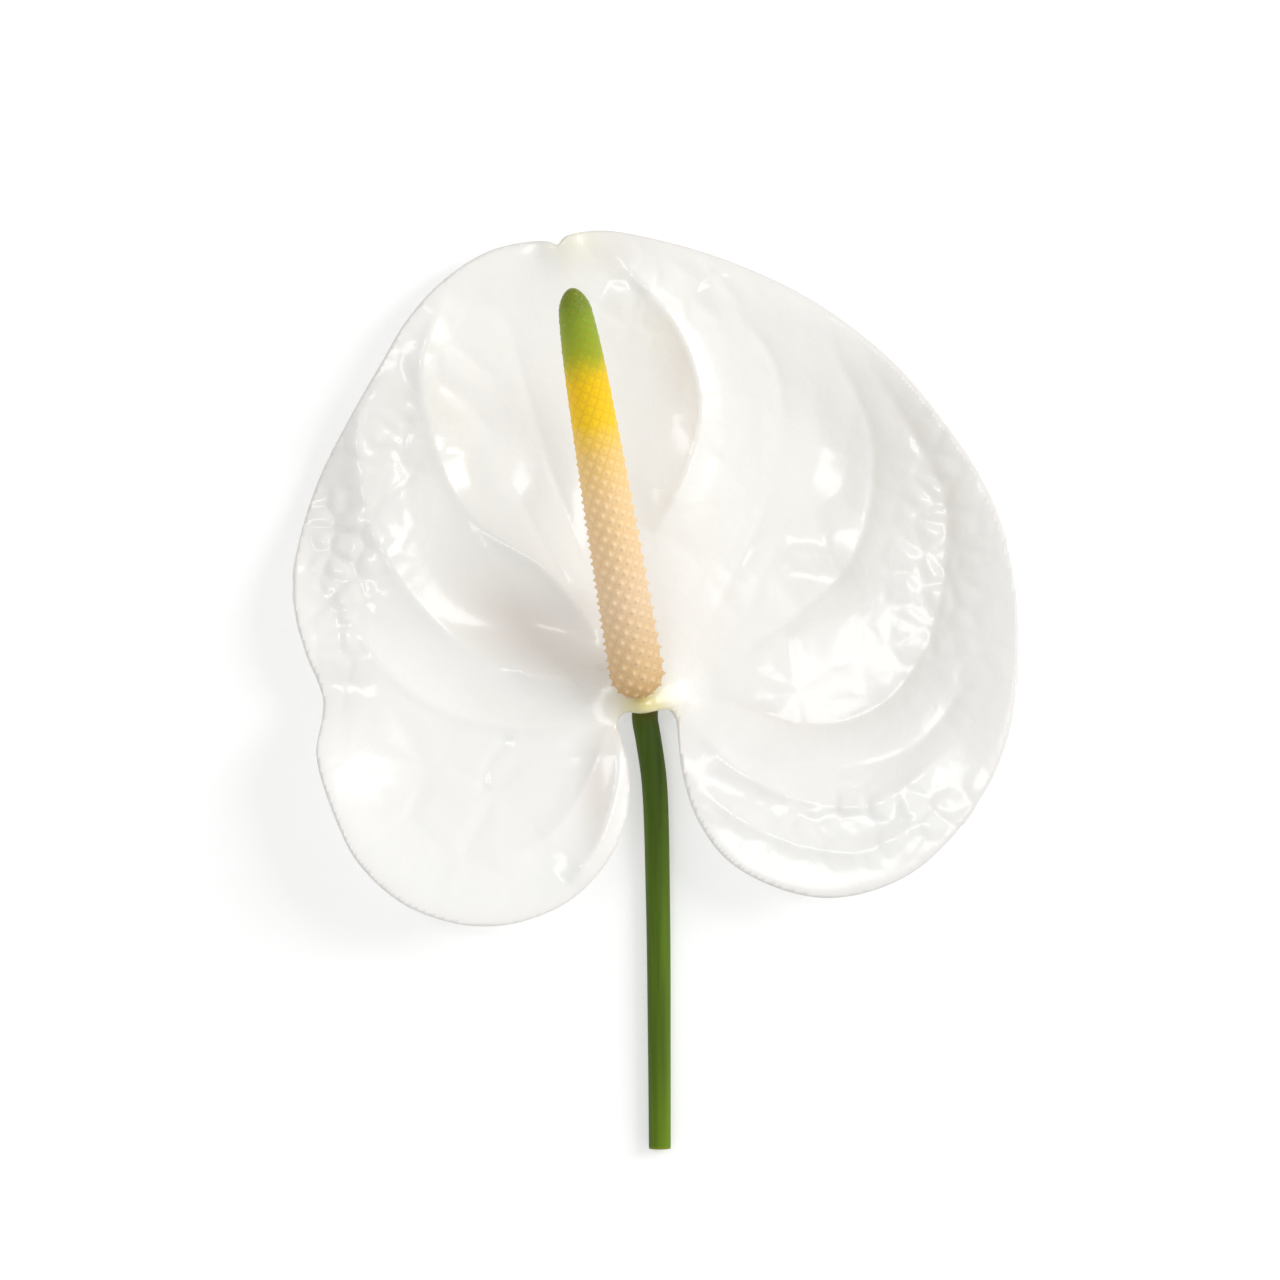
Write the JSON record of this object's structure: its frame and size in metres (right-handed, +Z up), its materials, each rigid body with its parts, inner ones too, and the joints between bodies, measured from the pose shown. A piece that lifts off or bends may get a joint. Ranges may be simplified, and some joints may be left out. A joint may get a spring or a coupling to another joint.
{
  "type": "anthurium flower",
  "caption": "Cut anthurium flower lying face up: white heart-shaped spathe with raised folds, tapered spadix of packed florets and a green cut stem.",
  "frame": {"origin": "under the middle of the flower's bounding box, on the surface that it lies on", "axes": "+Z up, the way the spathe faces; +Y along the flower from the cut end of the stem to the apex of the spathe; +X to the right when the apex points away"},
  "size_m": [0.13, 0.1658, 0.0456],
  "materials": {
    "spathe": "waxy white blade with a soft gloss, pale yellow-green at its base",
    "spadix": "matt florets, green at the tip, yellow, then peach to tan",
    "stem": "smooth green skin with a satin sheen"
  },
  "bodies": {
    "root": {"spathe": "spathe", "spadix": "spadix", "stem": "stem"}
  },
  "joints": []
}
